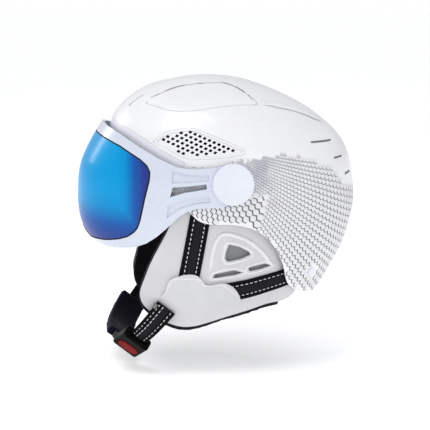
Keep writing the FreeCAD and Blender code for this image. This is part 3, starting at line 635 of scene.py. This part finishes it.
def add_scale(mesh, tree, place, angle, width, below_top, coarse):
    """One scale, highest at its upper rear and fading out towards the relief's top line."""
    points, faces, rise, tint = mesh
    y, z = place
    base, normal = shell_surface.point(y, z), shell_surface.normal(y, z)
    if normal[0] < 0:
        normal = -normal
    outwards = np.array([0, -math.cos(angle), math.sin(angle)])
    outwards -= normal * (outwards @ normal)
    outwards /= np.linalg.norm(outwards)
    across = np.cross(normal, outwards)
    cell, edge, dark = cell_outline(width, 0.9 if coarse else 0.6, 0.40 if coarse else 0.26)
    height = (0.10 + 0.05 * min(width, 11)) * min(1, 0.25 + below_top / 12)
    cast = 0.0 if coarse else 0.8 * min(1, max(0, (7.6 - width) / 2.5))
    first, count = len(points), len(cell)
    rings = [(cell, 1.0, 0.0, 0.0), (edge, 1.0, 0.62, 0.75), (edge, 0.80, 0.95, 1.0),
             (edge, 0.42, 1.05, 1.0)]
    for shape, scale, share, value in rings:
        for (t, r), deep in zip(shape, dark):
            spot = base + across * t * scale + outwards * r * scale
            lean = 0.85 - 0.5 * t / width
            spot[0] = float(shell_surface.x(spot[1], spot[2])) if base[0] > 45 else spot[0]
            points.append(settle(tree, spot, normal, 0.04 + height * share * lean))
            # The outline's rise is low, lowest on its lower front side: painted shade in the grooves and where
            # scales overlap.
            rise.append(value if value else 0.62 * (1 - deep))
            tint.append(cast)
    points.append(settle(tree, base, normal, 0.04 + height * 0.9))
    rise.append(1.0)
    tint.append(cast)
    for ring in range(len(rings) - 1):
        for i in range(count):
            j = (i + 1) % count
            a, b = first + ring * count, first + (ring + 1) * count
            faces.append((a + i, a + j, b + j, b + i))
    last = first + (len(rings) - 1) * count
    for i in range(count):
        faces.append((last + i, last + (i + 1) % count, first + len(rings) * count))


# --- Raised lines that follow a surface ----------------------------------------------------
def smooth_line(line, step, closed):
    """A Catmull-Rom curve through the points, in steps of about that length."""
    count = len(line)
    out = []
    for i in range(count if closed else count - 1):
        if closed:
            p = [np.array(line[(i + k) % count], float) for k in (-1, 0, 1, 2)]
        else:
            p = [np.array(line[min(count - 1, max(0, i + k))], float) for k in (-1, 0, 1, 2)]
        pieces = max(2, int(np.linalg.norm(p[2] - p[1]) / step))
        for s in np.arange(pieces) / pieces:
            square, cube = 2 * p[0] - 5 * p[1] + 4 * p[2] - p[3], 3 * p[1] - p[0] - 3 * p[2] + p[3]
            out.append(0.5 * (2 * p[1] + (p[2] - p[0]) * s + square * s ** 2 + cube * s ** 3))
    if not closed:
        out.append(np.array(line[-1], float))
    return out


def make_ridge(name, line, surface, node, width, height, closed, material, slot):
    """A half-round bead on both sides of the helmet, tapered at its ends if it is open."""
    tree = tree_of(node)
    path = smooth_line(line, 1.2, closed)
    count, profile = len(path), 7
    points, faces = [], []
    for i, (y, z) in enumerate(path):
        ahead = path[(i + 1) % count] if closed else path[min(i + 1, count - 1)]
        behind = path[i - 1] if closed else path[max(i - 1, 0)]
        base, normal = surface.point(y, z), surface.normal(y, z)
        if normal[0] < 0:
            normal = -normal
        tangent = surface.point(*ahead) - surface.point(*behind)
        side = np.cross(normal, tangent / np.linalg.norm(tangent))
        end = 1.0 if closed else min(1.0, 0.15 + min(i, count - 1 - i) / 5)
        for k in range(profile):
            t = -1 + 2 * k / (profile - 1)
            spot = base + side * t * width / 2 * end
            rise = height * end * math.sqrt(max(0, 1 - t * t))
            points.append(settle(tree, spot, normal, rise - 0.12 if abs(t) == 1 else rise))
    for i in range(count if closed else count - 1):
        a, b = i * profile, (i + 1) % count * profile
        for k in range(profile - 1):
            faces.append((a + k, a + k + 1, b + k + 1, b + k))
    make_object(name, *both_sides(points, faces), material, "helmet", slot)


GUARD_RIDGE = [(-33, -26), (-31.3, -10.8), (-28.5, 1.4), (-23.8, 9.4), (-18, 11.3), (-7.2, 9), (5.9, 2.4),
               (18.4, -8.6), (27.1, -19.8), (31.6, -24.5)]
TRIANGLE_RIM = [(-16.5, 2.4), (-3.4, -0.6), (7.6, -7.2), (8.8, -12.4), (-3.2, -16.8), (-16.4, -19),
                (-20.4, -14.6), (-19.5, -6)]
FRONT_RIM = [(-32.2, -33.6), (-29, -28), (-9.2, -24.3), (2.6, -28.8), (-8, -32.8), (-29, -35.6)]
REAR_RIM = [(2.6, -26), (6, -21.9), (22.4, -19.4), (31, -24), (19, -28.2), (5.4, -29.8)]
COVER_EDGE = [(-77.8, -51.4), (-74.9, -47.3), (-71.6, -37.5), (-65.9, -34), (-43.0, -34.7), (-38.2, -41.2),
              (-21.6, -40.4), (-5.2, -53.6)]
# Lines on the crown, as (x, y)
COVER_SEAM = [(44.6, -86.9), (44.9, -77), (42.1, -66.8), (40.3, -56.8), (40.5, -44.8), (40.7, -31.9),
              (40.6, -21.9), (40.8, -11.9), (46.4, -2.7), (54.7, 6.1), (64.7, 14.6)]
CROWN_CREASE = [(65, 24), (59.8, 32), (51.2, 51.9), (44, 70), (36, 88)]
# Slots and dashes beside the crown, as (y, z)
REAR_SLOTS = [[(68.4, 96), (92, 95.6), (93.5, 97.6), (68.4, 98)],
              [(94.3, 78.8), (104.5, 79.3), (105, 81.4), (94.3, 81)],
              [(108, 61), (116, 62), (116, 64.4), (108, 63.6)]]
DASHES = {"front_dash": [(-51.9, 77.7), (-47.7, 77.8)], "rear_dash": [(-43.5, 77.5), (-40.2, 77.8)]}


def make_crown_line(name, line, width, height, material):
    """A bead laid on the crown from above, on both sides."""
    tree = tree_of("outer_shell", "crown_cover_left")
    spots = []
    for x, y in smooth_line(line, 1.2, False):
        hits = [tree.ray_cast(Vector((x + dx, y + dy, 300)) * MM, Vector((0, 0, -1)))[:2]
                for dx, dy in ((0, 0), (1.5, 0), (-1.5, 0), (0, 1.5), (0, -1.5))]
        top = max(hit.z for hit, _ in hits) / MM
        normal = sum((n * math.copysign(1, n.z) for _, n in hits), Vector())
        spots.append((np.array([x, y, min(top, hits[0][0].z / MM + 1.5)]), np.array(normal.normalized())))
    points, faces, profile = [], [], 7
    for i, (spot, normal) in enumerate(spots):
        tangent = spots[min(i + 1, len(spots) - 1)][0] - spots[max(i - 1, 0)][0]
        side = np.cross(normal, tangent / np.linalg.norm(tangent))
        end = min(1.0, 0.1 + min(i, len(spots) - 1 - i) / 12)
        for k in range(profile):
            t = -1 + 2 * k / (profile - 1)
            rise = height * end * (1 - t * t) - 0.08 * abs(t)
            points.append(spot + side * t * width / 2 * end + normal * rise)
    for i in range(len(spots) - 1):
        for k in range(profile - 1):
            a = i * profile + k
            faces.append((a, a + 1, a + profile + 1, a + profile))
    make_object(name, *both_sides(points, faces), material, "helmet", "shell_white")


def make_slot_mesh():
    """Mesh let into the rear slots, a little below the shell's face; its grey is partly the mesh and partly
    painted shade of the slots' recesses.
    """
    points, faces = [], []
    for a, b, c, d in REAR_SLOTS:
        first = len(points)
        for s in np.linspace(0, 1, 9):
            for w in (0.0, 0.5, 1.0):
                y = (1 - w) * (a[0] * (1 - s) + b[0] * s) + w * (d[0] * (1 - s) + c[0] * s)
                z = (1 - w) * (a[1] * (1 - s) + b[1] * s) + w * (d[1] * (1 - s) + c[1] * s)
                points.append(shell_surface.point(y, z, -0.9))
        for i in range(8):
            for k in range(2):
                at = first + i * 3 + k
                faces.append((at, at + 1, at + 4, at + 3))
    make_object("rear_slot_mesh", *both_sides(points, faces), vent_mesh, "helmet", "vent_mesh")


def make_shell_details():
    # A dark bead along the cover's upper edge: painted shade for the gap's shadow line, which the raised cover
    # hides.
    make_crown_line("cover_seam_shade", COVER_SEAM, 1.3, 0.4, seam_shade)
    make_crown_line("crown_crease", CROWN_CREASE, 9.0, 0.6, shell_white)
    # The dashes are dark beads: painted shade standing in for the shade inside two small slots.
    for name, line in DASHES.items():
        make_ridge(name, line, shell_surface, "outer_shell", 1.3, 0.25, False, slot_shade, "shell_white")
    make_slot_mesh()


def make_guard_details():
    # Ridges, vent rims and the cover's top edge all take the lighter grey: painted highlight along their crests.
    for name, line, width, height, closed in (
            ("guard_ridge", GUARD_RIDGE, 4.4, 1.5, False), ("triangle_rim", TRIANGLE_RIM, 2.6, 0.8, True),
            ("front_vent_rim", FRONT_RIM, 2.2, 0.7, True), ("rear_vent_rim", REAR_RIM, 2.2, 0.7, True)):
        make_ridge(name, line, guard_surface, "ear_guard_left", width, height, closed, guard_edge_highlight,
                   "guard_grey")
    raised = Surface(GUARD, GUARD_HALF_WIDTH + COVER_THICKNESS)
    raised.radius = raised.radius + COVER_THICKNESS
    make_ridge("cover_edge", COVER_EDGE, raised, "strap_cover_left", 1.6, 0.5, False, guard_edge_highlight,
               "guard_grey")


# --- Webbing --------------------------------------------------------------------------------
def webbing_height(v, u):
    """Height over a strap's flat face: rolled edges, two sunk stitch lines, a ribbed middle."""
    edge = max(0.0, abs(v) - 0.88) / 0.12
    sunk = math.exp(-((abs(v) - 0.55) / 0.07) ** 2)
    ribs = 0.22 * abs(math.sin(u * 1.9)) if abs(v) < 0.42 else 0.07 * abs(math.sin(u * 4.2))
    return 0.12 + ribs - 0.18 * sunk - 0.75 * edge ** 2


def make_strap(name, place, length, half_width, rows, body):
    """Webbing: place(u, v, lift) is the point at u mm along, v from -1 to 1 across."""
    columns, steps = 25, max(8, int(length / 0.45))
    points, faces = [], []
    for i in range(steps + 1):
        u = length * i / steps
        for k in range(columns):
            v = -1 + 2 * k / (columns - 1)
            points.append(place(u, v, STRAP_THICKNESS + webbing_height(v, u)))
        for k in range(columns):
            v = -1 + 2 * k / (columns - 1)
            points.append(place(u, v, -0.05 + 0.4 * max(0.0, abs(v) - 0.88) / 0.12))
    row = 2 * columns
    for i in range(steps):
        a, b = i * row, (i + 1) * row
        for k in range(columns - 1):
            under, over = a + columns + k, b + columns + k
            faces.append((a + k, a + k + 1, b + k + 1, b + k))
            faces.append((under + 1, under, over, over + 1))
        faces.append((a + columns, a, b, b + columns))
        faces.append((a + columns - 1, a + row - 1, b + row - 1, b + columns - 1))
    for a in (0, steps * row):
        for k in range(columns - 1):
            faces.append((a + k, a + k + 1, a + columns + k + 1, a + columns + k))
    strap = make_object(name, points, faces, webbing, body, "webbing")
    # The middle attribute lightens the ribbed middle in stripes: partly its grey weave, partly painted sheen on
    # the ribs.
    across = np.tile(np.linspace(-1, 1, columns), 2 * (steps + 1))
    middle = strap.data.attributes.new("middle", "FLOAT", "POINT")
    lines = 0.35 + 0.65 * np.abs(np.cos(across * 13))
    middle.data.foreach_set("value", (np.abs(across) < 0.36) * lines)
    stitches = make_stitches(name + "_stitching", place, length, half_width, rows, body)
    return strap, stitches


def make_stitches(name, place, length, half_width, rows, body):
    """Rows of thick thread, each stitch a small pillow that dips into the webbing at its ends."""
    points, faces = [], []
    pitch, stitch, width = 4.6, 3.0, 0.42 / half_width
    for v in rows:
        u, crest = 1.5, STRAP_THICKNESS + (0.3 if abs(v) < 0.42 else 0.0)
        while u + stitch < length - 1:
            first = len(points)
            for s, rise in ((0, -0.1), (0.15, 0.22), (0.5, 0.3), (0.85, 0.22), (1, -0.1)):
                for side, share in ((-1, 0.0), (-0.6, 0.85), (0, 1.0), (0.6, 0.85), (1, 0.0)):
                    points.append(place(u + stitch * s, v + side * width, crest + rise * share))
            for a in range(4):
                for b in range(4):
                    at = first + a * 5 + b
                    faces.append((at, at + 1, at + 6, at + 5))
            u += pitch
    return make_object(name, points, faces, thread_white, body, "webbing")


def on_guard(corners, mirror):
    """place() for a strap on the guard, from corners a and b at its start to d and c at its end."""
    a, b, c, d = (np.array(p, float) for p in corners)
    length = np.linalg.norm((c + d - a - b) / 2)

    def place(u, v, lift):
        s, w = u / length, (v + 1) / 2
        y, z = (a * (1 - w) + b * w) * (1 - s) + (d * (1 - w) + c * w) * s
        point = guard_surface.point(y, z, lift + 0.2)
        return np.array([-point[0] if mirror else point[0], point[1], point[2]])
    return place, length


# The chin loop: a rounded U that hangs from the guards' slots in a plane leaning forwards
LEAN = math.radians(39)
DOWN = np.array([0, -math.sin(LEAN), -math.cos(LEAN)])
ACROSS = np.array([0, math.cos(LEAN), -math.sin(LEAN)])
EXIT = np.array([0, -72.5, -62.8])
LOOP_HALF_WIDTH, LOOP_SQUARENESS = 76, 2.6
NEAR_DEPTH, FAR_DEPTH = 64.0, 68.0    # the loop is a little deeper beyond the buckle


def loop_point(turn, lift=0.0):
    """The loop's middle at a turn in degrees, 0 at the near slot and 180 at the far one."""
    angle, power = math.radians(turn), 2 / LOOP_SQUARENESS
    depth = NEAR_DEPTH if turn < 60 else FAR_DEPTH

    def at(a):
        x = math.copysign(LOOP_HALF_WIDTH * abs(math.cos(a)) ** power, math.cos(a))
        return np.array([x, depth * math.sin(a) ** power])
    here, step = at(angle), math.radians(0.3)
    tangent = at(angle + step) - at(angle - step)
    tangent /= np.linalg.norm(tangent)
    here = here + np.array([tangent[1], -tangent[0]]) * lift
    return EXIT + np.array([here[0], 0, 0]) + DOWN * here[1]


def on_loop(start, end, half_width, end_half_width):
    """place() for webbing along the chin loop, outer face up, its width changing evenly to the end."""
    turns = np.linspace(start, end, 60)
    line = np.array([loop_point(t) for t in turns])
    along = np.concatenate([[0], np.cumsum(np.linalg.norm(np.diff(line, axis=0), axis=1))])

    def place(u, v, lift):
        turn = float(np.interp(u, along, turns))
        reach = half_width + (end_half_width - half_width) * u / along[-1]
        return loop_point(turn, lift - STRAP_THICKNESS / 2) + ACROSS * v * reach
    return place, float(along[-1])


def make_keeper(place):
    """A small grey tab folded over the strap's front edge beside its exit."""
    points, faces = [], []
    profile = [(-1.12, -0.5), (-1.16, 0.8), (-1.10, 2.1), (-0.95, 2.45), (-0.80, 2.5), (-0.78, 1.8)]
    steps, count = 9, len(profile)
    for i in range(steps):
        u = 3.0 + 5.0 * i / (steps - 1)
        pinch = 1 - 0.25 * abs(2 * i / (steps - 1) - 1) ** 4
        for v, lift in profile:
            points.append(place(u, v, 1.0 + (lift - 1.0) * pinch))
    for i in range(steps - 1):
        for k in range(count):
            j = (k + 1) % count
            faces.append((i * count + k, i * count + j, (i + 1) * count + j, (i + 1) * count + k))
    faces += [tuple(range(count)), tuple(range((steps - 1) * count, steps * count))]
    make_object("strap_keeper", points, faces, keeper_grey, "chin_loop", "webbing")


GUARD_STRAPS = {"front_strap": [(-51.1, 39), (-32.4, 32.5), (-43.4, -34.5), (-63.6, -33.5)],
                "rear_strap": [(53, -28), (56, -46.5), (-4.5, -57.5), (-16.9, -39.6)]}
SLOT_HALF_WIDTH = 11.0       # the near strap is wider where it comes out of its slot
PAIR_OF_ROWS = (-0.55, 0.55)


def make_straps():
    for name, corners in GUARD_STRAPS.items():
        for side, mirror in (("left", False), ("right", True)):
            place, length = on_guard(corners, mirror)
            strap, _ = make_strap(f"{name}_{side}_webbing", place, length, STRAP_HALF_WIDTH, PAIR_OF_ROWS,
                                  "helmet")
            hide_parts(f"{name}_{side}")
    place, length = on_loop(1.2, 44, SLOT_HALF_WIDTH, STRAP_HALF_WIDTH)
    strap, _ = make_strap("chin_webbing_left", place, length, SLOT_HALF_WIDTH, (-0.66, -0.28, 0.62),
                          "chin_loop")
    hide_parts("chin_strap_left")
    make_keeper(place)
    place, length = on_loop(74, 178.8, STRAP_HALF_WIDTH, STRAP_HALF_WIDTH)
    strap, stitches = make_strap("chin_webbing_right", place, length, STRAP_HALF_WIDTH, PAIR_OF_ROWS, None)
    slot, pad_mouth = tuple(loop_point(177) * MM), tuple(loop_point(150) * MM)
    for piece in (strap, stitches):
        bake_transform(piece)
        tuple(slot)
        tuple(pad_mouth)
    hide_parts("chin_strap_right")


make_relief()
make_shell_details()
make_guard_details()
make_straps()

# --- Padding --------------------------------------------------------------------------------
HEAD_CENTRE = (0, -10, 30)
LAST_STEP = 12               # of the blowing up
OUTWARD_SWELL = 0.25         # towards the shell, where there is no room


def evaluated(piece):
    """The piece's mesh with its modifiers applied."""
    graph = bpy.context.evaluated_depsgraph_get()
    graph.update()
    return bpy.data.meshes.new_from_object(piece.evaluated_get(graph))


def vertices_of(mesh):
    flat = np.zeros(len(mesh.vertices) * 3)
    mesh.vertices.foreach_get("co", flat)
    return flat.reshape(-1, 3)


def bake(piece):
    """Keeps what the modifiers do and takes them off."""
    mesh = evaluated(piece)
    piece.modifiers.clear()
    piece.data = mesh


def make_padded(name, node, material, voxel, swell, body="helmet"):
    """A foam piece under fabric: the frame's solid, drawn in a little and blown up as cloth."""
    scene = bpy.context.scene
    piece = bpy.data.objects.new(name, nodes[node].data.copy())
    scene.collection.objects.link(piece)
    weld = piece.modifiers.new("weld", "WELD")
    weld.merge_threshold = 0.02 * MM
    remesh = piece.modifiers.new("remesh", "REMESH")
    remesh.mode, remesh.voxel_size = "VOXEL", voxel * MM
    smooth = piece.modifiers.new("smooth", "SMOOTH")
    smooth.factor, smooth.iterations = 0.5, 2
    bake(piece)
    before = vertices_of(piece.data)
    cloth = piece.modifiers.new("cloth", "CLOTH")
    cloth.settings.quality = 4
    cloth.settings.mass = 0.2
    cloth.settings.use_pressure = True
    cloth.settings.uniform_pressure_force = 4
    cloth.settings.effector_weights.gravity = 0
    for step in range(1, LAST_STEP + 1):
        scene.frame_set(step)
    bake(piece)
    scene.frame_set(1)
    after = vertices_of(piece.data)
    move = after - before
    far = np.linalg.norm(move, axis=1, keepdims=True)
    inwards = np.sum(move * (np.array(HEAD_CENTRE) * MM - before), axis=1, keepdims=True) > 0
    limit = np.where(inwards, swell, OUTWARD_SWELL) * MM
    after = before + move * np.minimum(1, limit / np.maximum(far, 1e-9))
    piece.data.vertices.foreach_set("co", after.ravel())
    if node.startswith("ear_cushion"):
        stay_behind_mesh(piece.data)
    piece.modifiers.new("finer", "SUBSURF").render_levels = 1
    piece.modifiers["finer"].levels = 1
    bake(piece)
    piece.data.materials.clear()
    piece.data.materials.append(material)
    piece.data.shade_smooth()
    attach(piece, body)
    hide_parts(node)


def stay_behind_mesh(mesh):
    """Keeps the ear padding inside the mesh that backs the guard's openings."""
    places = vertices_of(mesh)
    limit = (guard_surface.x(places[:, 1] / MM, places[:, 2] / MM, -4.5) - 0.1) * MM
    outside = np.abs(places[:, 0]) > limit
    places[outside, 0] = np.sign(places[outside, 0]) * limit[outside]
    mesh.vertices.foreach_set("co", places.ravel())


def make_rounded(name, node, body):
    """A moulded casing: the frame's solid with its edges well rounded."""
    piece = bpy.data.objects.new(name, nodes[node].data.copy())
    bpy.context.scene.collection.objects.link(piece)
    remesh = piece.modifiers.new("remesh", "REMESH")
    remesh.mode, remesh.voxel_size = "VOXEL", 0.6 * MM
    smooth = piece.modifiers.new("smooth", "SMOOTH")
    smooth.factor, smooth.iterations = 0.5, 14
    bake(piece)
    piece.data.shade_smooth()
    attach(piece, body)
    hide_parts(node)


def make_spring():
    """The button's spring, a copy of the frame's spring that rides with the chin loop."""
    piece = bpy.data.objects.new("press_spring", nodes["button_spring"].data.copy())
    bpy.context.scene.collection.objects.link(piece)
    press = next(joint for joint in frame["joints"] if joint["name"] == "button_press")
    depths = vertices_of(piece.data) @ np.array(press["axis"])
    anchor = vertices_of(piece.data)[depths.argmax()]
    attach(piece, "chin_loop")
    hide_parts("button_spring")
    tuple(press["axis"])
    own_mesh(piece)


def make_padding():
    """Each piece with its voxel size and its swell in millimetres."""
    for side in ("left", "right"):
        make_padded(f"ear_padding_{side}", f"ear_cushion_{side}", pad_fabric, 2.2, 2.5)
        make_padded(f"temple_padding_{side}", f"temple_pad_{side}", pad_fabric, 1.6, 1.8)
    for place in ("crown", "brow", "rear"):
        make_padded(f"{place}_padding", f"{place}_pad", pad_fabric, 1.8, 1.8)
    make_padded("nape_padding", "nape_cradle", pad_fabric, 1.6, 0.8)
    make_padded("nose_padding", "nose_foam", face_foam, 1.6, 0.8, "visor")
    make_padded("chin_padding", "chin_pad", chin_fleece, 1.8, 1.5, "tongue")


make_padding()
make_rounded("buckle_casing", "buckle_housing", "chin_loop")
make_spring()
